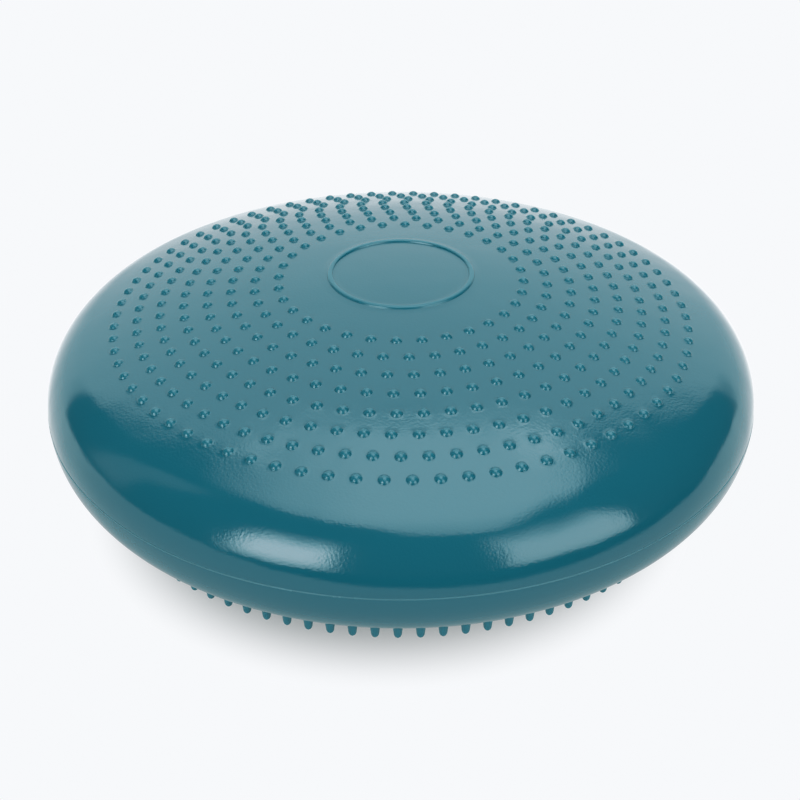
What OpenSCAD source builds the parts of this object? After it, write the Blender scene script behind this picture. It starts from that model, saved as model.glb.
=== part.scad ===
// Inflatable wobble cushion: a moulded, air-filled balance disc with massage nubs on top,
// soft pins underneath and a needle valve in its rim. It stands on its inner ring of pins.
// The origin is on the floor under the centre, +Z is up and the valve faces +Y.

/* [Disc] */
// Radius of the disc at its seam
disc_r = 165; // [160:1:170]
// Thickness of the moulded skin
skin_t = 4.5; // [4.3:0.1:5]
// Height of the upper crown above the seam
upper_crown = 57; // [54:1:60]
// Radius of the upper dome
upper_dome_r = 385; // [370:5:400]
// Depth of the lower crown below the seam
lower_crown = 60; // [57:1:63]
// Radius of the lower dome
lower_dome_r = 360; // [350:5:380]
// Gap between a face and the wall around it
flex_gap = 0.5; // [0.4:0.1:0.8]

/* [Centre ridge] */
// Radius of the raised ring around the plain centre
ridge_ring_r = 32.4; // [28:0.2:38]
// Radius of the ridge's round section
ridge_r = 1.6; // [1.3:0.1:1.9]
// How far the ridge stands out from the skin
ridge_h = 1.1; // [0.8:0.1:1.3]

/* [Massage nubs] */
// Number of rings of nubs
nub_rings = 8; // [2:1:8]
// Radius of the inner ring of nubs
nub_ring_r = 56.1; // [48:0.1:58]
// Distance from one ring to the next
nub_ring_step = 10.86; // [10:0.02:10.9]
// Number of nubs in the inner ring
nub_count = 32; // [24:1:34]
// Nubs that each ring has more than the ring inside it
nub_count_step = 6; // [4:1:6]
// Radius of the ball that shapes a nub
nub_r = 2.65; // [2.3:0.05:2.8]
// How far a nub stands out from the skin
nub_h = 1.9; // [1.4:0.1:2]
// Angle by which each ring is turned from the front, from the inner ring outward
nub_turn = [-2, 3, 4, -2, -1, -2, 0, 2]; // [-6:1:6]

/* [Floor pins] */
// Number of rings of pins
pin_rings = 9; // [2:1:9]
// Radius of the inner ring of pins
pin_ring_r = 56; // [48:0.5:56]
// Distance from one ring to the next
pin_ring_step = 10.8; // [10:0.1:10.8]
// Number of pins in the inner ring
pin_count = 39; // [30:1:40]
// Pins that each ring has more than the ring inside it
pin_count_step = 7; // [5:1:7]
// Angle by which the rings are turned from the front
pin_turn = -0.5; // [-4:0.5:4]
// Radius of a pin at the skin
pin_base_r = 2.3; // [1.8:0.1:2.5]
// Radius of a pin's flat tip
pin_tip_r = 1.6; // [0.9:0.1:1.7]
// Height of a pin
pin_h = 8; // [5:0.5:9]

/* [Rim seam] */
// How far the bead stands out from the rim
bead_out = 0.2; // [0.1:0.05:0.6]
// How far the bead reaches into the rim
bead_in = 1.2; // [0.8:0.1:1.5]
// Height of the bead
bead_h = 0.8; // [0.8:0.1:1.4]

/* [Valve] */
// Radius of the boss that holds the valve
boss_r = 11; // [10:0.5:12]
// Radius of the hole through the boss
boss_bore_r = 6; // [5.8:0.1:6.2]
// Radius of the valve's flange
flange_r = 8.4; // [8:0.1:8.8]
// Radius of the hole for the pump needle
needle_r = 1.25; // [1:0.05:1.5]
// Radius of the plug's shank
plug_r = 2.5; // [2.3:0.1:2.7]
// Radius of the plug's head
plug_head_r = 4.2; // [3.6:0.1:4.8]

/* [Hidden] */

teal = [0.16, 0.44, 0.50];
bright_teal = [0.20, 0.50, 0.56];
dark_teal = [0.08, 0.32, 0.38];
rubber = [0.86, 0.86, 0.83];

// Sides of a drawn circle, on small pieces and on the large skins
$fn = 96;
skin_fn = 256;

// Slack between pieces that touch
fit = 0.05;

// How deep the feet of the pins and of the boss sink into the skin
pin_root = 1.5;
boss_root = 0.8;

// Plain strip kept free between a bump and the edge of its face
bump_margin = 1;

// Height that a dome has lost at distance r from its centre
function dome_drop(dome_r, r) = dome_r - sqrt(dome_r * dome_r - r * r);

// Radius of the shoulder that is upright at the seam and runs smoothly into the dome
function shoulder_r(dome_r, crown) =
    (2 * dome_r * crown - crown * crown - disc_r * disc_r) / (2 * (dome_r - disc_r));

// Distance from the centre at which the dome turns into the shoulder
function edge_r(dome_r, crown) =
    (disc_r - shoulder_r(dome_r, crown)) * dome_r / (dome_r - shoulder_r(dome_r, crown));

// Whether a ring of bumps still fits on a face
function ring_fits(r, bump_r, dome_r, crown) = r + bump_r + bump_margin < edge_r(dome_r, crown);

// The pins of the inner ring touch the floor, which sets the height of the seam
seam_z = pin_h + lower_crown - dome_drop(lower_dome_r, pin_ring_r);

// Lengths along the valve
flange_recess = 1.55;
flange_t = 1.2;
boss_len = 11.25;
plug_hole_len = 6.9;
needle_len = 6;
core_t = 3;
valve_floor_t = 1.5;
plug_tip_gap = 0.5;
plug_head_t = 1.3;

// Depths along the valve, measured from the centre of the disc
valve_outer_y = disc_r - flange_recess;
pocket_y = valve_outer_y - flange_t;
boss_in_y = pocket_y - boss_len;
plug_seat_y = valve_outer_y - plug_hole_len;
core_top_y = plug_seat_y - needle_len;
core_floor_y = core_top_y - core_t;
valve_in_y = core_floor_y - valve_floor_t;

// Radii inside the valve
barb_r = boss_bore_r + 1.2;
barb_t = 2.3;
core_r = 3.6;
air_r = 1.5;

// Half section of one dome of the skin, with its crown on the axis
module dome_section(dome_r, crown) {
    intersection() {
        translate([0, crown - dome_r]) difference() {
            circle(r = dome_r, $fn = skin_fn * 2);
            circle(r = dome_r - skin_t, $fn = skin_fn * 2);
        }
        square([edge_r(dome_r, crown) - flex_gap / 2, crown + 1]);
    }
}

// Half section of one shoulder of the skin, from the edge of the dome down to the seam
module shoulder_section(dome_r, crown) {
    bend_r = shoulder_r(dome_r, crown);
    start_r = edge_r(dome_r, crown) + flex_gap / 2;
    difference() {
        intersection() {
            translate([disc_r - bend_r, 0]) difference() {
                circle(r = bend_r);
                circle(r = bend_r - skin_t);
            }
            translate([start_r, fit / 2]) square([disc_r, crown]);
        }
        translate([disc_r - bead_in - fit, 0]) square([bead_in + 1, bead_h / 2 + fit]);
    }
}

// Round bar along +Y from depth y0 to depth y1, on the axis of the valve
module valve_bar(r, y0, y1) {
    translate([0, y0, 0]) rotate([-90, 0, 0]) cylinder(h = y1 - y0, r = r);
}

// One shoulder with its half of the valve boss, standing above the seam plane
module wall_half(dome_r, crown) {
    difference() {
        union() {
            rotate_extrude($fn = skin_fn) shoulder_section(dome_r, crown);
            intersection() {
                valve_bar(boss_r, boss_in_y, disc_r - skin_t + boss_root);
                translate([-boss_r, 0, fit / 2]) cube([2 * boss_r, disc_r, boss_r + 1]);
            }
        }
        valve_bar(boss_bore_r, boss_in_y - 1, disc_r + 1);
        valve_bar(flange_r + 4 * fit, pocket_y - fit, disc_r + 1);
    }
}

module top_face() {
    ridge_z = upper_crown - dome_drop(upper_dome_r, ridge_ring_r) + ridge_h - ridge_r;
    color(bright_teal) translate([0, 0, seam_z]) {
        rotate_extrude($fn = skin_fn) {
            dome_section(upper_dome_r, upper_crown);
            translate([ridge_ring_r, ridge_z]) circle(r = ridge_r);
        }
        for (ring = [0 : nub_rings - 1]) {
            r = nub_ring_r + ring * nub_ring_step;
            count = nub_count + ring * nub_count_step;
            z = upper_crown - dome_drop(upper_dome_r, r) + nub_h - nub_r;
            if (ring_fits(r, nub_r, upper_dome_r, upper_crown))
                for (i = [0 : count - 1])
                    rotate(i * 360 / count + nub_turn[ring] - 90) translate([r, 0, z])
                        sphere(r = nub_r, $fn = 24);
        }
    }
}

module upper_wall() {
    color(teal) translate([0, 0, seam_z]) wall_half(upper_dome_r, upper_crown);
}

module lower_wall() {
    color(dark_teal) translate([0, 0, seam_z]) mirror([0, 0, 1])
        wall_half(lower_dome_r, lower_crown);
}

module bottom_face() {
    color(dark_teal) {
        translate([0, 0, seam_z]) mirror([0, 0, 1])
            rotate_extrude($fn = skin_fn) dome_section(lower_dome_r, lower_crown);
        for (ring = [0 : pin_rings - 1]) {
            r = pin_ring_r + ring * pin_ring_step;
            count = pin_count + ring * pin_count_step;
            tip_z = seam_z - lower_crown + dome_drop(lower_dome_r, r) - pin_h;
            if (ring_fits(r, pin_base_r, lower_dome_r, lower_crown))
                for (i = [0 : count - 1])
                    rotate(i * 360 / count + pin_turn - 90) translate([r, 0, tip_z])
                        cylinder(h = pin_h + pin_root, r1 = pin_tip_r, r2 = pin_base_r, $fn = 24);
        }
    }
}

// Light bead that closes the joint between the two halves, open where the valve sits
module rim_seam() {
    color(bright_teal) translate([0, 0, seam_z]) difference() {
        rotate_extrude($fn = skin_fn) translate([disc_r - bead_in, -bead_h / 2])
            square([bead_in + bead_out, bead_h]);
        valve_bar(flange_r + 4 * fit, pocket_y - fit, disc_r + 2);
    }
}

// Rubber valve with a flange outside, a barb inside and a narrow hole for the needle
module valve_body() {
    color(rubber) translate([0, 0, seam_z]) difference() {
        union() {
            valve_bar(flange_r, pocket_y, valve_outer_y);
            valve_bar(boss_bore_r - fit, valve_in_y, pocket_y + 0.5);
            valve_bar(barb_r, boss_in_y - fit - barb_t, boss_in_y - fit);
        }
        valve_bar(plug_r + 2 * fit, plug_seat_y, valve_outer_y + 1);
        valve_bar(needle_r, core_top_y - 0.5, plug_seat_y + 0.5);
        valve_bar(core_r, core_floor_y, core_top_y);
        valve_bar(air_r, valve_in_y - 1, core_floor_y + 0.5);
    }
}

// Soft disc that closes behind the needle
module valve_core() {
    color(dark_teal) translate([0, 0, seam_z])
        valve_bar(core_r - fit, core_floor_y + fit, core_top_y - fit);
}

// Stopper that keeps dirt out of the needle hole
module valve_plug() {
    color(dark_teal) translate([0, 0, seam_z]) {
        valve_bar(plug_r, plug_seat_y + plug_tip_gap, valve_outer_y + plug_head_t / 2);
        valve_bar(plug_head_r, valve_outer_y + fit, valve_outer_y + plug_head_t);
    }
}

bottom_face();
lower_wall();
rim_seam();
upper_wall();
top_face();
valve_body();
valve_core();
valve_plug();
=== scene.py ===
from math import acos, asin, cos, pi, radians, sin, sqrt

import bmesh
import bpy
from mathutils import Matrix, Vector


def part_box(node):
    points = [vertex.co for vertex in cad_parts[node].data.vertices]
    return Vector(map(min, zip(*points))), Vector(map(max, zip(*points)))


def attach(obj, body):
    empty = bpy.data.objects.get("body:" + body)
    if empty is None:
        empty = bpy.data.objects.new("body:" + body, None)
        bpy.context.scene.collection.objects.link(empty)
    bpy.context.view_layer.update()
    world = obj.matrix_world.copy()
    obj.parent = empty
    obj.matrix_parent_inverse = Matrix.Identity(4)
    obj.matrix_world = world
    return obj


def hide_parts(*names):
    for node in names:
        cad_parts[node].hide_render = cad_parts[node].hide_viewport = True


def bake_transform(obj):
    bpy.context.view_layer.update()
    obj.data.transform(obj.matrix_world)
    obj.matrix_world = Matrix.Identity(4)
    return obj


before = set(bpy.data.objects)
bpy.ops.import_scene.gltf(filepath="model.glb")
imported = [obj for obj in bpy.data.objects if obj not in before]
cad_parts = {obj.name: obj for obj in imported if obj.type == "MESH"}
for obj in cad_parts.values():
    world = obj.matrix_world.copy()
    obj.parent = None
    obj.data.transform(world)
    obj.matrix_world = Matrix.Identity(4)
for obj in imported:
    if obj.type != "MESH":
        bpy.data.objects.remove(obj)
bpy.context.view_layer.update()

MM = 0.001

# Driving dimensions of the disc, in metres. The seam plane divides the upper half from the lower.
SEAM_Z = (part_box("rim_seam")[0].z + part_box("rim_seam")[1].z) / 2
DISC_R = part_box("upper_wall")[1].x
SKIN_T = 4.5 * MM
UPPER_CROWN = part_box("top_face")[1].z - SEAM_Z
UPPER_DOME_R = 385 * MM
LOWER_CROWN = 60 * MM
LOWER_DOME_R = 360 * MM

# Rings of nubs on top, and of pins underneath
NUB_RINGS = 8
NUB_RING_R = 56.1 * MM
NUB_RING_STEP = 10.86 * MM
NUB_COUNT = 32
NUB_COUNT_STEP = 6
NUB_TURN = (-2, 3, 4, -2, -1, -2, 0, 2)
NUB_R = 2.65 * MM
NUB_H = 1.7 * MM
PIN_RINGS = 9
PIN_RING_R = 56 * MM
PIN_RING_STEP = 10.8 * MM
PIN_COUNT = 39
PIN_COUNT_STEP = 7
PIN_TURN = -0.5
PIN_H = 8 * MM

# Raised ring around the plain centre
RIDGE_RING_R = 32.4 * MM
RIDGE_H = 1.1 * MM

# Bead in the seam
BEAD_IN = 1.2 * MM
BEAD_OUT = 0.1 * MM
BEAD_H = 0.6 * MM

# Depths along the valve, from the disc's centre, and the valve's radii
VALVE_OUT_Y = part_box("valve_body")[1].y
VALVE_IN_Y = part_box("valve_body")[0].y
POCKET_Y = VALVE_OUT_Y - 1.2 * MM
BOSS_IN_Y = POCKET_Y - 11.25 * MM
FLANGE_R = 8.4 * MM
BOSS_R = 11 * MM
SHANK_R = 5.95 * MM
PLUG_R = 2.5 * MM

# Slack between pieces that touch, and the distance within which two points become one
FIT = 0.05 * MM
WELD = 0.001 * MM

# Points around one bump's cell, around the plain rings of the skin and around the valve
CELL_POINTS = 24
WALL_POINTS = 256
VALVE_POINTS = 64
# Share of the distance between two rings of bumps that the band of one ring takes up
BAND_SHARE = 0.92
# How far a face stands above the dome where it counts as part of a bump
BUMP_RISE = 0.15 * MM

# Upright panels of light in the studio: azimuth from the front towards +X, and elevation, each
# from one angle to another with the softness of its edges, in degrees, and then the brightness
PANELS = (
    ((-50, -20, 5), (2, 37, 13), 8.2),
    ((30, 70.5, 3), (-3, 39, 15), 4.7),
    ((-106, -90, 3), (5, 54, 8), 0.55),
)
ROOM_BRIGHTNESS = 0.05
STUDIO_COLOUR = (0.97, 1.0, 1.04, 1)

# Pale wall behind the disc: azimuths of its two edges and elevation of its top. Below an
# elevation of WALL_FLARE_TOP its edges come round towards the front, as a photo sweep does.
WALL_LEFT, WALL_RIGHT, WALL_TOP, WALL_SOFTNESS = -136, 138, 62, 3
WALL_FLARE, WALL_FLARE_TOP = 1.09, 26
WALL_BRIGHTNESS = 1.12
WALL_RISE = 0.8

# Overhead softbox, with its edges as slopes away from straight up. Its front left corner is cut
# off along a slanting line, and its left and front are dimmer, up to a slope of OVERHEAD_FULL.
OVERHEAD_X = (-0.45, 0.475)
OVERHEAD_Y = (-0.57, 0.49)
OVERHEAD_CORNER, OVERHEAD_SLANT = -0.47, 1.2
OVERHEAD_SOFTNESS = 0.06
OVERHEAD_SIDE_SOFTNESS = 0.11
OVERHEAD_BRIGHTNESS = 3.8
OVERHEAD_FULL = -0.1
OVERHEAD_LEFT_SHARE = 0.4
OVERHEAD_FRONT_SHARE = 0.58

# The table as the disc mirrors it, painted as a glow: its front edge runs askew, a painted
# shadow makes it dark close to the disc and painted light makes it brighter towards the back
TABLE_FRONT_Y, TABLE_EDGE_SOFTNESS = -0.357, 0.03
TABLE_SKEW = 0.4
TABLE_BRIGHTNESS = 1.05
TABLE_BACK_GAIN = 0.25
TABLE_SHADOW_DARKEST = 0.36
TABLE_SHADOW_R, TABLE_SHADOW_SOFTNESS = 165 * MM, 85 * MM
TABLE_BACK_Y, TABLE_BACK_SOFTNESS = 20 * MM, 150 * MM

# Points on the camera's curve for red: brightness in the scene and in the picture
RED_CURVE = ((0.05, 0.034), (0.17, 0.12), (0.36, 0.323))

# Where the disc's shadow on the floor fades into the bright paper. The fade is painted by distance
# from SHADOW_CENTRE, and inside it the floor has a darker colour as painted shade.
SHADOW_CENTRE = (-6 * MM, 0, 0)
SHADOW_EDGE = 125.5 * MM
SHADOW_SOFTNESS = 23 * MM
# Painted shade: the floor near the disc takes this darker colour
SHADED_FLOOR_COLOUR = (0.57, 0.50, 0.475, 1)
FLOOR_GLOW = 0.18
PAPER_COLOUR = (0.935, 0.945, 0.965, 1)
FLOOR_SIZE = 12.0

# Where the camera stands, its tilt from straight down in degrees, and its lens
CAMERA_BACK = 644.7 * MM
CAMERA_UP = 397.7 * MM
CAMERA_TILT = 57.5
CAMERA_LENS = 71.6
CAMERA_SHIFT = -0.0011


class Half:
    """Outline of one half of the skin: a dome that turns into a round shoulder at the rim."""

    def __init__(self, crown, dome_r, sign):
        self.crown = crown
        self.dome_r = dome_r
        self.sign = sign
        self.bend_r = (2 * dome_r * crown - crown**2 - DISC_R**2) / (2 * (dome_r - DISC_R))
        self.edge_r = (DISC_R - self.bend_r) * dome_r / (dome_r - self.bend_r)
        self.edge_angle = asin(self.edge_r / dome_r)

    def height(self, r, inset=0.0):
        """Height of the dome above the seam plane at distance r from the axis."""
        return self.crown - self.dome_r + sqrt((self.dome_r - inset) ** 2 - r * r)

    def shoulder(self, angle, inset=0.0):
        """Distance from the axis and height, on the shoulder, at an angle from upright."""
        bend = self.bend_r - inset
        return DISC_R - self.bend_r + bend * sin(angle), bend * cos(angle)

    def z(self, height):
        return SEAM_Z + self.sign * height


def weld(mesh):
    """Joins the points of a closed mesh that share a place, and turns its faces outward."""
    work = bmesh.new()
    work.from_mesh(mesh)
    bmesh.ops.remove_doubles(work, verts=work.verts, dist=WELD)
    bmesh.ops.recalc_face_normals(work, faces=work.faces)
    work.to_mesh(mesh)
    work.free()


class Sheet:
    """Collects the points and faces of a closed mesh, whose parts are welded at the end."""

    def __init__(self):
        self.points = []
        self.faces = []

    def ring(self, r, z, count, turn=0.0):
        """A level ring of evenly spread points. turn is a share of a full circle."""
        first = len(self.points)
        for i in range(count):
            angle = 2 * pi * (turn + i / count)
            self.points.append((r * cos(angle), r * sin(angle), z))
        return list(range(first, first + count))

    def strip(self, a, b):
        """Four-sided faces between two closed rings with the same number of points."""
        for i in range(len(a)):
            j = (i + 1) % len(a)
            self.faces.append((a[i], a[j], b[j], b[i]))

    def zip_rings(self, a, b, turn_a, turn_b):
        """Triangles between two closed rings with different numbers of points."""
        n, m = len(a), len(b)
        shift = round((turn_a - turn_b) * m)
        b = [b[(k + shift) % m] for k in range(m)]
        turn_b += shift / m
        i = j = 0
        while i < n or j < m:
            if j == m or (i < n and turn_a + (i + 1) / n < turn_b + (j + 1) / m):
                self.faces.append((a[i % n], a[(i + 1) % n], b[j % m]))
                i += 1
            else:
                self.faces.append((a[i % n], b[(j + 1) % m], b[j % m]))
                j += 1

    def fan(self, centre, ring):
        """Triangles from one point to a closed ring."""
        first = len(self.points)
        self.points.append(centre)
        for i in range(len(ring)):
            self.faces.append((first, ring[i], ring[(i + 1) % len(ring)]))

    def make(self, name):
        """The closed mesh object, shaded smooth."""
        mesh = bpy.data.meshes.new(name)
        mesh.from_pydata(self.points, [], self.faces)
        weld(mesh)
        mesh.shade_smooth()
        piece = bpy.data.objects.new(name, mesh)
        bpy.context.scene.collection.objects.link(piece)
        return piece


def cap_profile(ball_r, height, foot):
    """(distance, height) pairs down the cap of a ball, from near its top to a soft foot."""
    sink = ball_r - height
    edge = acos(sink / ball_r)
    pairs = []
    for share in (0.22, 0.42, 0.60, 0.76, 0.90):
        t = share * edge
        pairs.append((ball_r * sin(t), ball_r * cos(t) - sink))
    last_d, last_h = pairs[-1]
    for along, left in ((0.22, 0.52), (0.45, 0.22), (0.70, 0.06), (1.0, 0.0)):
        pairs.append((last_d + along * foot, left * last_h))
    return height, pairs


def ridge_profile():
    """(distance, height) pairs from the nearly flat top of the ridge down its steep side."""
    half_width, foot = 1.3 * MM, 0.3 * MM
    pairs = []
    for angle in (15, 30, 45, 58, 70, 80):
        t = radians(angle)
        pairs.append((half_width * sin(t) ** 0.7, RIDGE_H * cos(t) ** 0.7))
    pairs.append((half_width + 0.3 * foot, 0.06 * RIDGE_H))
    pairs.append((half_width + foot, 0.0))
    return RIDGE_H, pairs


def pin_profile():
    """(distance, height) pairs down a tapered pin with a round tip, from its tip to its foot."""
    tip_r, tip_h, base_r, foot_r = 1.75 * MM, 2.4 * MM, 2.25 * MM, 2.9 * MM
    shank_h, foot_h = PIN_H - tip_h, 0.14 * PIN_H
    pairs = []
    for angle in (25, 48, 66, 80):
        t = radians(angle)
        pairs.append((tip_r * sin(t), shank_h + tip_h * cos(t)))
    for share in (0.3, 0.65):
        pairs.append((tip_r + share * (base_r - tip_r), shank_h - share * (shank_h - foot_h)))
    pairs.append((base_r, 0.10 * PIN_H))
    pairs.append((base_r + 0.3 * (foot_r - base_r), 0.03 * PIN_H))
    pairs.append((foot_r, 0.0))
    return PIN_H, pairs


def cell_edge(k):
    """Point k of CELL_POINTS around the edge of a square from -1 to 1, from its lower left."""
    side, step = divmod(k, CELL_POINTS // 4)
    along = -1 + 2 * step / (CELL_POINTS // 4)
    return ((along, -1), (1, along), (-along, 1), (-1, -along))[side]


def bump_cell(sheet, half, ring_r, angle, half_angle, half_h, profile, upright):
    """One bump in the middle of its cell. An upright bump stands on end, another leans outward."""
    top_h, pairs = profile
    middle = Vector((ring_r * cos(angle), ring_r * sin(angle)))
    outward = Vector((cos(angle), sin(angle)))
    sideways = Vector((-sin(angle), cos(angle)))
    lean = 0.0 if upright else asin(ring_r / half.dome_r)
    middle_h = half.height(ring_r)
    foot_d = pairs[-1][0]

    def place(flat, h, hold):
        """Point above a place on the plan. hold is 1 where it keeps the height of the middle."""
        flat = flat + outward * (h * sin(lean))
        base = half.height(flat.length) * (1 - hold) + middle_h * hold
        return (flat.x, flat.y, half.z(base + h * cos(lean)))

    rings = []
    for d, h in pairs:
        hold = (1 - (d / foot_d) ** 4) if upright else 0.0
        first = len(sheet.points)
        for k in range(CELL_POINTS):
            t = 2 * pi * (k / CELL_POINTS - 0.375)
            flat = middle + sideways * (d * cos(t)) + outward * (d * sin(t) * cos(lean))
            sheet.points.append(place(flat, h, hold))
        rings.append(list(range(first, first + CELL_POINTS)))
    foot = rings[-1]
    edges = []
    for k in range(CELL_POINTS):
        u, v = cell_edge(k)
        r = ring_r + v * half_h
        a = angle + u * half_angle
        edges.append(Vector((r * cos(a), r * sin(a))))
    for share in (0.4, 1.0):
        first = len(sheet.points)
        for k in range(CELL_POINTS):
            near = Vector(sheet.points[foot[k]][:2])
            flat = near.lerp(edges[k], share) if share < 1 else edges[k]
            sheet.points.append((flat.x, flat.y, half.z(half.height(flat.length))))
        rings.append(list(range(first, first + CELL_POINTS)))
    sheet.fan(place(middle, top_h, 1.0 if upright else 0.0), rings[0])
    for a, b in zip(rings, rings[1:]):
        sheet.strip(a, b)


def bump_bands(sheet, half, rings, first_r, step, count, count_step, turns, profile, upright):
    """All rings of bumps. Returns the inner edge and the outer edge as (ring, turn)."""
    half_h = BAND_SHARE / 2 * step
    inner_edge = outer_edge = None
    for i in range(rings):
        ring_r = first_r + i * step
        n = count + i * count_step
        turn = turns[i] / 360 - 0.25
        for k in range(n):
            angle = 2 * pi * (turn + k / n)
            bump_cell(sheet, half, ring_r, angle, pi / n, half_h, profile, upright)
        around = n * CELL_POINTS // 4
        start = turn - 0.5 / n
        low_r, high_r = ring_r - half_h, ring_r + half_h
        low = sheet.ring(low_r, half.z(half.height(low_r)), around, start)
        high = sheet.ring(high_r, half.z(half.height(high_r)), around, start)
        if outer_edge is None:
            inner_edge = (low, start)
        else:
            sheet.zip_rings(outer_edge[0], low, outer_edge[1], start)
        outer_edge = (high, start)
    return inner_edge, outer_edge


def centre_radii(edge_r, ridge):
    """(radius, extra height) of the rings of the plain centre, from the middle outward."""
    if not ridge:
        return [(edge_r * share, 0.0) for share in (0.05, 0.15, 0.3, 0.5, 0.7, 0.85)]
    top_h, pairs = ridge_profile()
    near = [(RIDGE_RING_R - d, h) for d, h in reversed(pairs)]
    far = [(RIDGE_RING_R + d, h) for d, h in pairs]
    start = near[0][0]
    plain = [(start * share, 0.0) for share in (0.08, 0.2, 0.35, 0.5, 0.65, 0.8, 0.92)]
    gap = edge_r - far[-1][0]
    rest = [(far[-1][0] + gap * share, 0.0) for share in (0.2, 0.5, 0.8)]
    return plain + near + [(RIDGE_RING_R, top_h)] + far + rest


def build_centre(sheet, half, edge, ridge):
    """The plain middle of a half, inside its first ring of bumps."""
    ring, turn = edge
    edge_r = Vector(sheet.points[ring[0]][:2]).length
    rings = []
    for r, extra in centre_radii(edge_r, ridge):
        rings.append(sheet.ring(r, half.z(half.height(r) + extra), len(ring), turn))
    rings.append(ring)
    sheet.fan((0.0, 0.0, half.z(half.crown)), rings[0])
    for a, b in zip(rings, rings[1:]):
        sheet.strip(b, a)


def wall_outline(half, start_r):
    """(radius, height) pairs down the shoulder, round the lip at the seam and back up inside."""
    pairs = []
    for i in range(1, 5):
        r = start_r + (half.edge_r - start_r) * i / 4
        pairs.append((r, half.height(r)))
    lip_h = BEAD_H / 2 + FIT
    last = pi / 2 - asin(2 * lip_h / half.bend_r)
    steps = 26
    for i in range(1, steps + 1):
        pairs.append(half.shoulder(half.edge_angle + (last - half.edge_angle) * i / steps))
    groove_r = DISC_R - BEAD_IN - FIT
    pairs.append((DISC_R - 0.05 * MM, 1.05 * lip_h))
    pairs.append((DISC_R - 0.15 * MM, lip_h))
    pairs.append((groove_r, lip_h))
    pairs.append((groove_r, FIT))
    pairs.append((DISC_R - SKIN_T, FIT))
    for i in range(10, -1, -1):
        angle = half.edge_angle + (pi / 2 - half.edge_angle) * i / 11
        pairs.append(half.shoulder(angle, SKIN_T))
    for share in (0.85, 0.6, 0.35, 0.12):
        r = half.edge_r * share
        pairs.append((r, half.height(r, SKIN_T)))
    return pairs


def build_wall(sheet, half, edge):
    """The plain band outside the bumps, the shoulder, the lip and the inside of the half."""
    ring, turn = edge
    start_r = Vector(sheet.points[ring[0]][:2]).length
    outline = wall_outline(half, start_r)
    before = sheet.ring(outline[0][0], half.z(outline[0][1]), WALL_POINTS)
    sheet.zip_rings(ring, before, turn, 0.0)
    for r, height in outline[1:]:
        after = sheet.ring(r, half.z(height), WALL_POINTS)
        sheet.strip(after, before)
        before = after
    sheet.fan((0.0, 0.0, half.z(half.crown - SKIN_T)), before)


def lathe(name, outline, points=VALVE_POINTS):
    """A closed solid turned about the valve's axis. outline holds (depth, radius) pairs.

    Its two ends get flat lids, unless the outline comes back to where it began.
    """
    sheet = Sheet()
    rings = []
    for depth, r in outline:
        first = len(sheet.points)
        for i in range(points):
            angle = 2 * pi * i / points
            sheet.points.append((r * cos(angle), depth, SEAM_Z + r * sin(angle)))
        rings.append(list(range(first, first + points)))
    for a, b in zip(rings, rings[1:]):
        sheet.strip(a, b)
    if outline[0] != outline[-1]:
        sheet.fan((0.0, outline[0][0], SEAM_Z), rings[0])
        sheet.fan((0.0, outline[-1][0], SEAM_Z), rings[-1])
    return sheet.make(name)


def cut(piece, tool, operation):
    """Applies one exact boolean to a piece and removes the tool."""
    change = piece.modifiers.new(operation.lower(), "BOOLEAN")
    change.object = tool
    change.operation = operation
    change.solver = "EXACT"
    bpy.context.view_layer.objects.active = piece
    bpy.ops.object.modifier_apply(modifier=change.name)
    bpy.data.objects.remove(tool)


def half_boss(sign):
    """Half of the boss that holds the valve, on one side of the seam plane."""
    sheet = Sheet()
    count = 33
    rings = []
    for depth in (BOSS_IN_Y, DISC_R - SKIN_T + 0.8 * MM):
        first = len(sheet.points)
        for i in range(count):
            angle = pi * i / (count - 1)
            height = FIT + BOSS_R * sin(angle)
            sheet.points.append((BOSS_R * cos(angle), depth, SEAM_Z + sign * height))
        rings.append(list(range(first, first + count)))
    sheet.strip(*rings)
    sheet.faces.append(tuple(rings[0]))
    sheet.faces.append(tuple(rings[1]))
    return sheet.make("boss_tool")


def fit_valve_seat(piece, sign):
    """Adds the boss to a half of the skin, and opens the bore and the pocket for the flange."""
    cut(piece, half_boss(sign), "UNION")
    bore = [(BOSS_IN_Y - 1 * MM, SHANK_R + FIT), (DISC_R + 1 * MM, SHANK_R + FIT)]
    cut(piece, lathe("bore_tool", bore), "DIFFERENCE")
    pocket_r = FLANGE_R + 4 * FIT
    pocket = [(POCKET_Y - FIT, pocket_r), (DISC_R + 1 * MM, pocket_r + 0.3 * MM)]
    cut(piece, lathe("pocket_tool", pocket), "DIFFERENCE")
    weld(piece.data)
    piece.data.shade_smooth()
    piece.data.set_sharp_from_angle(angle=radians(46))


def build_upper_skin():
    half = Half(UPPER_CROWN, UPPER_DOME_R, 1)
    sheet = Sheet()
    profile = cap_profile(NUB_R, NUB_H, 0.45 * MM)
    inner, outer = bump_bands(sheet, half, NUB_RINGS, NUB_RING_R, NUB_RING_STEP,
                              NUB_COUNT, NUB_COUNT_STEP, NUB_TURN, profile, False)
    build_centre(sheet, half, inner, True)
    build_wall(sheet, half, outer)
    piece = sheet.make("upper_skin")
    fit_valve_seat(piece, 1)
    return piece


def build_lower_skin():
    half = Half(LOWER_CROWN, LOWER_DOME_R, -1)
    sheet = Sheet()
    turns = [PIN_TURN] * PIN_RINGS
    inner, outer = bump_bands(sheet, half, PIN_RINGS, PIN_RING_R, PIN_RING_STEP,
                              PIN_COUNT, PIN_COUNT_STEP, turns, pin_profile(), True)
    build_centre(sheet, half, inner, False)
    build_wall(sheet, half, outer)
    piece = sheet.make("lower_skin")
    fit_valve_seat(piece, -1)
    return piece


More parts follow.
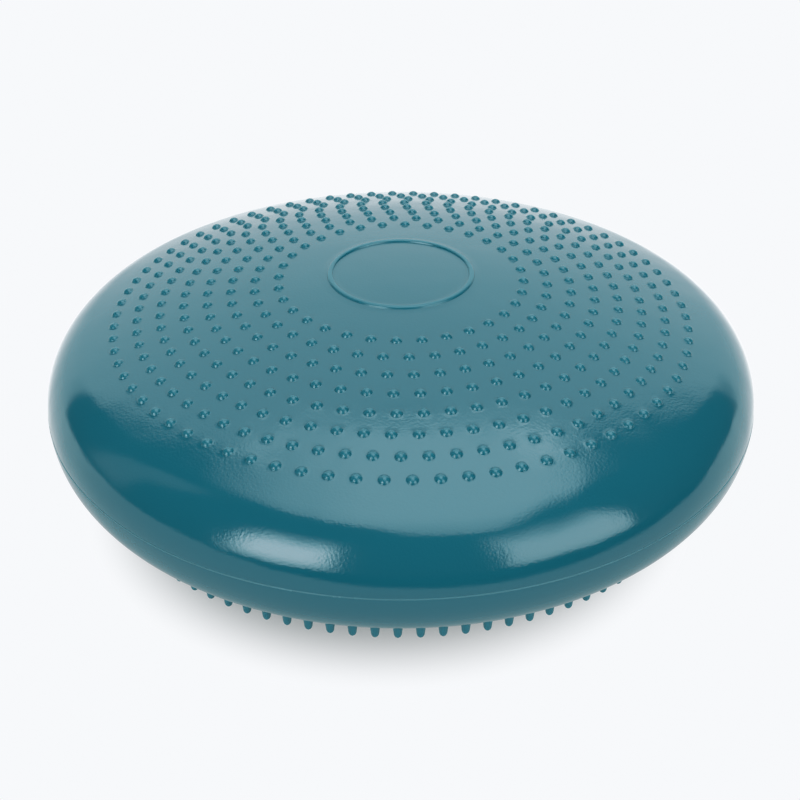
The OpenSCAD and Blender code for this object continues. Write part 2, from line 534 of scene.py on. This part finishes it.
def build_bead():
    """The thin bead in the seam, open where the valve sits."""
    outline = [(DISC_R - BEAD_IN, -0.5), (DISC_R + 0.3 * BEAD_OUT, -0.5),
               (DISC_R + 0.8 * BEAD_OUT, -0.3), (DISC_R + BEAD_OUT, 0.0),
               (DISC_R + 0.8 * BEAD_OUT, 0.3), (DISC_R + 0.3 * BEAD_OUT, 0.5),
               (DISC_R - BEAD_IN, 0.5)]
    gap = asin((FLANGE_R + 6 * FIT) / DISC_R)
    steps = 360
    sheet = Sheet()
    rings = []
    for i in range(steps + 1):
        angle = pi / 2 + gap + (2 * pi - 2 * gap) * i / steps
        first = len(sheet.points)
        for r, share in outline:
            sheet.points.append((r * cos(angle), r * sin(angle), SEAM_Z + share * BEAD_H))
        rings.append(list(range(first, first + len(outline))))
    for a, b in zip(rings, rings[1:]):
        sheet.strip(a, b)
    sheet.faces.append(tuple(rings[0]))
    sheet.faces.append(tuple(rings[-1]))
    return sheet.make("seam_bead")


def build_valve_body():
    """Rubber grommet: flange outside, barb inside, and a stepped hole through it."""
    core_top = POCKET_Y - 11.7 * MM
    seat = core_top + 6 * MM
    core_floor = core_top - 3 * MM
    barb_out, barb_in = BOSS_IN_Y - FIT, BOSS_IN_Y - FIT - 2.3 * MM
    hole_r, core_r, air_r, needle_r = PLUG_R + 2 * FIT, 3.6 * MM, 1.5 * MM, 1.25 * MM
    outline = [
        (VALVE_OUT_Y - 0.5 * MM, FLANGE_R), (VALVE_OUT_Y - 0.15 * MM, FLANGE_R - 0.1 * MM),
        (VALVE_OUT_Y, FLANGE_R - 0.5 * MM), (VALVE_OUT_Y, 5.2 * MM),
        (VALVE_OUT_Y - 0.12 * MM, 5.0 * MM), (VALVE_OUT_Y - 0.12 * MM, hole_r + 0.4 * MM),
        (VALVE_OUT_Y - 0.3 * MM, hole_r), (seat, hole_r),
        (seat, needle_r + 0.3 * MM), (seat - 0.3 * MM, needle_r),
        (core_top, needle_r), (core_top, core_r), (core_floor, core_r),
        (core_floor, air_r), (VALVE_IN_Y, air_r), (VALVE_IN_Y, SHANK_R - 0.5 * MM),
        (VALVE_IN_Y + 0.5 * MM, SHANK_R), (barb_in, SHANK_R),
        (barb_out - 0.4 * MM, SHANK_R + 1.25 * MM), (barb_out, SHANK_R + 1.1 * MM),
        (barb_out, SHANK_R), (POCKET_Y, SHANK_R), (POCKET_Y, FLANGE_R),
        (VALVE_OUT_Y - 0.5 * MM, FLANGE_R)]
    piece = lathe("valve_grommet", outline, 96)
    piece.data.set_sharp_from_angle(angle=radians(50))
    return piece


def build_valve_core():
    low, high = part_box("valve_core")
    r = high.x
    edge = 0.3 * MM
    outline = [(low.y, r - edge), (low.y + edge, r), (high.y - edge, r), (high.y, r - edge)]
    piece = lathe("core_disc", outline)
    piece.data.set_sharp_from_angle(angle=radians(50))
    return piece


def build_plug():
    """Stopper with a rounded, slightly dished head and a tapered tip."""
    low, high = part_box("valve_plug")
    head_r = high.x
    head_in = VALVE_OUT_Y + FIT
    outline = [
        (low.y, 1.6 * MM), (low.y + 1.2 * MM, PLUG_R), (head_in, PLUG_R),
        (head_in, head_r - 0.2 * MM), (head_in + 0.25 * MM, head_r), (high.y - 0.5 * MM, head_r),
        (high.y - 0.15 * MM, head_r - 0.2 * MM), (high.y, head_r - 0.6 * MM),
        (high.y, head_r - 1.2 * MM), (high.y - 0.35 * MM, head_r - 1.7 * MM),
        (high.y - 0.4 * MM, 0.5 * MM)]
    piece = lathe("stopper", outline)
    piece.data.set_sharp_from_angle(angle=radians(50))
    return piece


def shade(colour):
    """A linear colour from the 0 to 255 values of a screen colour."""
    return tuple((c / 255) ** 2.2 for c in colour) + (1.0,)


def add_node(tree, kind, **values):
    """A shader node with some of its inputs or settings set by name."""
    node = tree.nodes.new(kind)
    for key, value in values.items():
        if hasattr(node, key):
            setattr(node, key, value)
        else:
            node.inputs[key.replace("_", " ")].default_value = value
    return node


def vinyl(name, dark, light, roughness, peel):
    """Glossy moulded vinyl: slight colour drift, uneven gloss and a fine orange-peel surface."""
    material = bpy.data.materials.new(name)
    material.use_nodes = True
    tree = material.node_tree
    link = tree.links.new
    surface = tree.nodes["Principled BSDF"]
    place = add_node(tree, "ShaderNodeTexCoord")

    drift = add_node(tree, "ShaderNodeTexNoise", Scale=9.0, Detail=3.0, Roughness=0.5)
    link(place.outputs["Object"], drift.inputs["Vector"])
    mix = add_node(tree, "ShaderNodeMix", data_type="RGBA")
    mix.inputs["A"].default_value = shade(dark)
    mix.inputs["B"].default_value = shade(light)
    link(drift.outputs["Fac"], mix.inputs["Factor"])
    link(mix.outputs["Result"], surface.inputs["Base Color"])

    smear = add_node(tree, "ShaderNodeTexNoise", Scale=35.0, Detail=4.0, Roughness=0.6)
    link(place.outputs["Object"], smear.inputs["Vector"])
    gloss = add_node(tree, "ShaderNodeMapRange")
    gloss.inputs["From Min"].default_value = 0.3
    gloss.inputs["From Max"].default_value = 0.7
    gloss.inputs["To Min"].default_value = roughness * 0.88
    gloss.inputs["To Max"].default_value = roughness * 1.15
    link(smear.outputs["Fac"], gloss.inputs["Value"])
    link(gloss.outputs["Result"], surface.inputs["Roughness"])

    skin = add_node(tree, "ShaderNodeTexNoise", Scale=900.0, Detail=1.0, Roughness=0.5)
    link(place.outputs["Object"], skin.inputs["Vector"])
    fine = add_node(tree, "ShaderNodeBump", Strength=peel, Distance=0.042 * MM)
    link(skin.outputs["Fac"], fine.inputs["Height"])
    wave = add_node(tree, "ShaderNodeTexNoise", Scale=45.0, Detail=1.0, Roughness=0.4)
    link(place.outputs["Object"], wave.inputs["Vector"])
    broad = add_node(tree, "ShaderNodeBump", Strength=peel, Distance=0.35 * MM)
    link(wave.outputs["Fac"], broad.inputs["Height"])
    link(fine.outputs["Normal"], broad.inputs["Normal"])
    link(broad.outputs["Normal"], surface.inputs["Normal"])

    surface.inputs["IOR"].default_value = 1.5
    return material


def dress(piece, material):
    """Gives a piece one material."""
    piece.data.materials.clear()
    piece.data.materials.append(material)
    piece.data.polygons.foreach_set("material_index", [0] * len(piece.data.polygons))


def dress_bumps(piece, half, material):
    """Gives the faces that stand out from the dome a second material, rougher, with a lighter
    colour painted as light on the bumps.
    """
    piece.data.materials.append(material)
    for face in piece.data.polygons:
        r = Vector(face.center[:2]).length
        height = (face.center.z - SEAM_Z) * half.sign
        if r < half.edge_r and height > half.height(r) + BUMP_RISE:
            face.material_index = 1


def build_object():
    """Every piece, with its finish and the CAD nodes it stands for; the bead and the valve's
    pieces also go to their bodies.
    """
    skin = vinyl("vinyl_skin", (24, 77, 90), (29, 83, 96), 0.10, 1.0)
    # Bumps: rougher, with a lighter colour as painted light on their tops
    soft = vinyl("lit_bump_vinyl", (27, 85, 98), (32, 92, 105), 0.24, 0.6)
    # Seam bead: a lighter colour as a painted highlight along it
    line = vinyl("seam_highlight_vinyl", (62, 100, 110), (70, 108, 118), 0.30, 0.5)
    rubber = vinyl("valve_rubber", (12, 76, 90), (18, 84, 98), 0.42, 0.4)
    pale = vinyl("core_rubber", (190, 186, 172), (204, 200, 188), 0.6, 0.4)

    upper, lower = build_upper_skin(), build_lower_skin()
    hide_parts("top_face", "upper_wall")
    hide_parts("bottom_face", "lower_wall")
    dress(upper, skin)
    dress(lower, skin)
    dress_bumps(upper, Half(UPPER_CROWN, UPPER_DOME_R, 1), soft)
    dress_bumps(lower, Half(LOWER_CROWN, LOWER_DOME_R, -1), soft)
    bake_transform(upper)
    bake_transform(lower)

    for piece, node, body, slot, material in (
            (build_bead(), "rim_seam", "rim", "seam", line),
            (build_valve_body(), "valve_body", "rim", "valve", rubber),
            (build_valve_core(), "valve_core", "rim", "core", pale),
            (build_plug(), "valve_plug", "plug", "plug", rubber)):
        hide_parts(node)
        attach(piece, body)
        dress(piece, material)


def soft_step(tree, value, edge, softness):
    """Socket that is 0 below an edge and 1 above it, with a soft change between."""
    step = add_node(tree, "ShaderNodeMapRange", interpolation_type="SMOOTHSTEP")
    step.inputs["From Min"].default_value = edge - softness
    step.inputs["From Max"].default_value = edge + softness
    tree.links.new(value, step.inputs["Value"])
    return step.outputs["Result"]


def reckon(tree, operation, a, b):
    """Socket with the result of one sum on two sockets or numbers."""
    node = add_node(tree, "ShaderNodeMath", operation=operation)
    for i, value in enumerate((a, b)):
        if isinstance(value, (int, float)):
            node.inputs[i].default_value = value
        else:
            tree.links.new(value, node.inputs[i])
    return node.outputs["Value"]


def soft_span(tree, value, low, high, softness):
    """Socket that is 1 between two edges and 0 outside them."""
    return reckon(tree, "SUBTRACT", soft_step(tree, value, low, softness),
                  soft_step(tree, value, high, softness))


def slope(tree, value, inputs, results):
    """Socket that runs evenly from one result to another, and is level beyond them."""
    fade = add_node(tree, "ShaderNodeMapRange")
    for name, number in zip(("From Min", "From Max", "To Min", "To Max"), inputs + results):
        fade.inputs[name].default_value = number
    tree.links.new(value, fade.inputs["Value"])
    return fade.outputs["Result"]


def product(tree, *factors):
    """Socket with the product of several sockets or numbers."""
    total = factors[0]
    for factor in factors[1:]:
        total = reckon(tree, "MULTIPLY", total, factor)
    return total


def distance_from(tree, place, point):
    """Socket with the distance between a place and a fixed point."""
    spread = add_node(tree, "ShaderNodeVectorMath", operation="DISTANCE")
    tree.links.new(place, spread.inputs[0])
    spread.inputs[1].default_value = point
    return spread.outputs["Value"]


def add_glow(tree, strength):
    """Emission of the paper's colour, with a strength from a socket."""
    glow = add_node(tree, "ShaderNodeEmission", Color=PAPER_COLOUR)
    tree.links.new(strength, glow.inputs["Strength"])
    return glow.outputs["Emission"]


def add_mix(tree, share, a, b):
    """Mixes two shaders. share is how much of the second one shows."""
    mix = add_node(tree, "ShaderNodeMixShader")
    for socket, source in zip(mix.inputs, (share, a, b)):
        tree.links.new(source, socket)
    return mix.outputs["Shader"]


def table_brightness(tree, place, spread):
    """Brightness of the glow painted as the mirrored table at a place, with a painted shadow near
    the disc. spread is its distance from the disc.
    """
    split = add_node(tree, "ShaderNodeSeparateXYZ")
    tree.links.new(place, split.inputs["Vector"])
    across, along = split.outputs["X"], split.outputs["Y"]
    skewed = reckon(tree, "SUBTRACT", along, product(tree, across, TABLE_SKEW))
    table = soft_step(tree, skewed, TABLE_FRONT_Y, TABLE_EDGE_SOFTNESS)
    # Painted shadow of the disc on the mirrored table: darker close to the disc
    out_of_shadow = soft_step(tree, spread, TABLE_SHADOW_R, TABLE_SHADOW_SOFTNESS)
    gained = product(tree, out_of_shadow, TABLE_BRIGHTNESS - TABLE_SHADOW_DARKEST)
    light = reckon(tree, "ADD", gained, TABLE_SHADOW_DARKEST)
    # Painted light: the mirrored table gets brighter towards the back
    back = soft_step(tree, along, TABLE_BACK_Y, TABLE_BACK_SOFTNESS)
    gain = reckon(tree, "ADD", product(tree, back, TABLE_BACK_GAIN), 1.0)
    return product(tree, table, light, gain)


def build_floor():
    """A plain pale floor with the disc's shadow, painted by distance, and the table that the disc
    mirrors, painted as a glow.
    """
    bpy.ops.mesh.primitive_plane_add(size=FLOOR_SIZE, location=(0, 0, 0))
    floor = bpy.context.object
    floor.name = "floor"
    material = bpy.data.materials.new("floor")
    material.use_nodes = True
    tree = material.node_tree
    surface = tree.nodes["Principled BSDF"]
    surface.inputs["Base Color"].default_value = SHADED_FLOOR_COLOUR
    surface.inputs["Emission Color"].default_value = PAPER_COLOUR
    surface.inputs["Emission Strength"].default_value = FLOOR_GLOW
    surface.inputs["Roughness"].default_value = 0.9
    surface.inputs["Specular IOR Level"].default_value = 0.0

    place = add_node(tree, "ShaderNodeTexCoord").outputs["Object"]
    spread = distance_from(tree, place, SHADOW_CENTRE)
    paper = add_node(tree, "ShaderNodeEmission", Color=PAPER_COLOUR)
    # Painted shadow: the camera sees the darker floor near the disc, which fades to the flat paper
    # at a fixed distance
    lit = soft_step(tree, spread, SHADOW_EDGE, SHADOW_SOFTNESS)
    seen = add_mix(tree, lit, surface.outputs["BSDF"], paper.outputs["Emission"])
    # Painted reflection: rays other than the camera's see the table as a glow with a painted
    # shadow
    mirrored = add_glow(tree, table_brightness(tree, place, spread))
    camera_sees = add_node(tree, "ShaderNodeLightPath").outputs["Is Camera Ray"]
    shown = add_mix(tree, camera_sees, mirrored, seen)
    tree.links.new(shown, tree.nodes["Material Output"].inputs["Surface"])
    floor.data.materials.append(material)


def add_panel(tree, azimuth, elevation, panel):
    """Brightness of one upright panel of light, by the direction that is looked in."""
    (az_low, az_high, az_soft), (el_low, el_high, el_soft), brightness = panel
    sides = soft_span(tree, azimuth, radians(az_low), radians(az_high), radians(az_soft))
    ends = soft_span(tree, elevation, radians(el_low), radians(el_high), radians(el_soft))
    return product(tree, sides, ends, brightness)


def add_wall(tree, azimuth, elevation, up):
    """Brightness of the pale wall behind the disc, which is brighter towards its top."""
    soft = radians(WALL_SOFTNESS)
    flare = slope(tree, elevation, (0.0, radians(WALL_FLARE_TOP)), (WALL_FLARE, 1.0))
    spread = product(tree, azimuth, flare)
    front = soft_span(tree, spread, radians(WALL_LEFT), radians(WALL_RIGHT), soft)
    behind = reckon(tree, "SUBTRACT", 1.0, front)
    above_top = soft_step(tree, elevation, radians(WALL_TOP), soft / 2)
    below_top = reckon(tree, "SUBTRACT", 1.0, above_top)
    rise = reckon(tree, "ADD", product(tree, up, WALL_RISE), 1.0)
    return product(tree, behind, below_top, rise, WALL_BRIGHTNESS)


def add_overhead(tree, split):
    """Brightness of the softbox above the disc, which has one corner cut off."""
    up = split.outputs["Z"]
    height = reckon(tree, "MAXIMUM", up, 0.1)
    u = reckon(tree, "DIVIDE", split.outputs["X"], height)
    v = reckon(tree, "DIVIDE", split.outputs["Y"], height)
    corner = reckon(tree, "ADD", product(tree, u, OVERHEAD_SLANT), v)
    shape = product(tree, soft_span(tree, u, *OVERHEAD_X, OVERHEAD_SIDE_SOFTNESS),
                    soft_span(tree, v, *OVERHEAD_Y, OVERHEAD_SOFTNESS),
                    soft_step(tree, corner, OVERHEAD_CORNER, OVERHEAD_SOFTNESS))
    above_horizon = soft_step(tree, up, 0.3, 0.1)
    left = slope(tree, u, (OVERHEAD_X[0], OVERHEAD_FULL), (OVERHEAD_LEFT_SHARE, 1.0))
    front = slope(tree, v, (OVERHEAD_Y[0], OVERHEAD_FULL), (OVERHEAD_FRONT_SHARE, 1.0))
    return product(tree, shape, above_horizon, left, front, OVERHEAD_BRIGHTNESS)


def build_world():
    """The studio: a dark room with a pale wall behind the disc and panels of light."""
    world = bpy.data.worlds.new("studio")
    bpy.context.scene.world = world
    world.use_nodes = True
    tree = world.node_tree
    place = add_node(tree, "ShaderNodeTexCoord")
    split = add_node(tree, "ShaderNodeSeparateXYZ")
    tree.links.new(place.outputs["Generated"], split.inputs["Vector"])
    front = product(tree, split.outputs["Y"], -1.0)
    azimuth = reckon(tree, "ARCTAN2", split.outputs["X"], front)
    elevation = reckon(tree, "ARCSINE", split.outputs["Z"], 0.0)
    total = reckon(tree, "ADD", add_wall(tree, azimuth, elevation, split.outputs["Z"]),
                   add_overhead(tree, split))
    for panel in PANELS:
        total = reckon(tree, "ADD", total, add_panel(tree, azimuth, elevation, panel))
    total = reckon(tree, "ADD", total, ROOM_BRIGHTNESS)
    studio = tree.nodes["Background"]
    studio.inputs["Color"].default_value = STUDIO_COLOUR
    tree.links.new(total, studio.inputs["Strength"])
    paper = add_node(tree, "ShaderNodeBackground", Color=PAPER_COLOUR)
    camera_sees = add_node(tree, "ShaderNodeLightPath").outputs["Is Camera Ray"]
    shown = add_mix(tree, camera_sees, studio.outputs["Background"], paper.outputs["Background"])
    tree.links.new(shown, tree.nodes["World Output"].inputs["Surface"])


def grade():
    """Plain colours, with weak reds deepened as a product photographer's camera does."""
    view = bpy.context.scene.view_settings
    view.view_transform = "Standard"
    view.use_curve_mapping = True
    curve = view.curve_mapping.curves[0]
    for place in RED_CURVE:
        curve.points.new(*place)
    view.curve_mapping.update()


def build_camera():
    """The camera in front of the disc, looking down on it."""
    data = bpy.data.cameras.new("camera")
    data.sensor_width = 36.0
    data.lens = CAMERA_LENS
    data.shift_x = CAMERA_SHIFT
    camera = bpy.data.objects.new("camera", data)
    camera.location = (0, -CAMERA_BACK, SEAM_Z + CAMERA_UP)
    camera.rotation_euler = (radians(CAMERA_TILT), 0, 0)
    bpy.context.scene.collection.objects.link(camera)
    bpy.context.scene.camera = camera


build_object()
build_floor()
build_world()
build_camera()
grade()
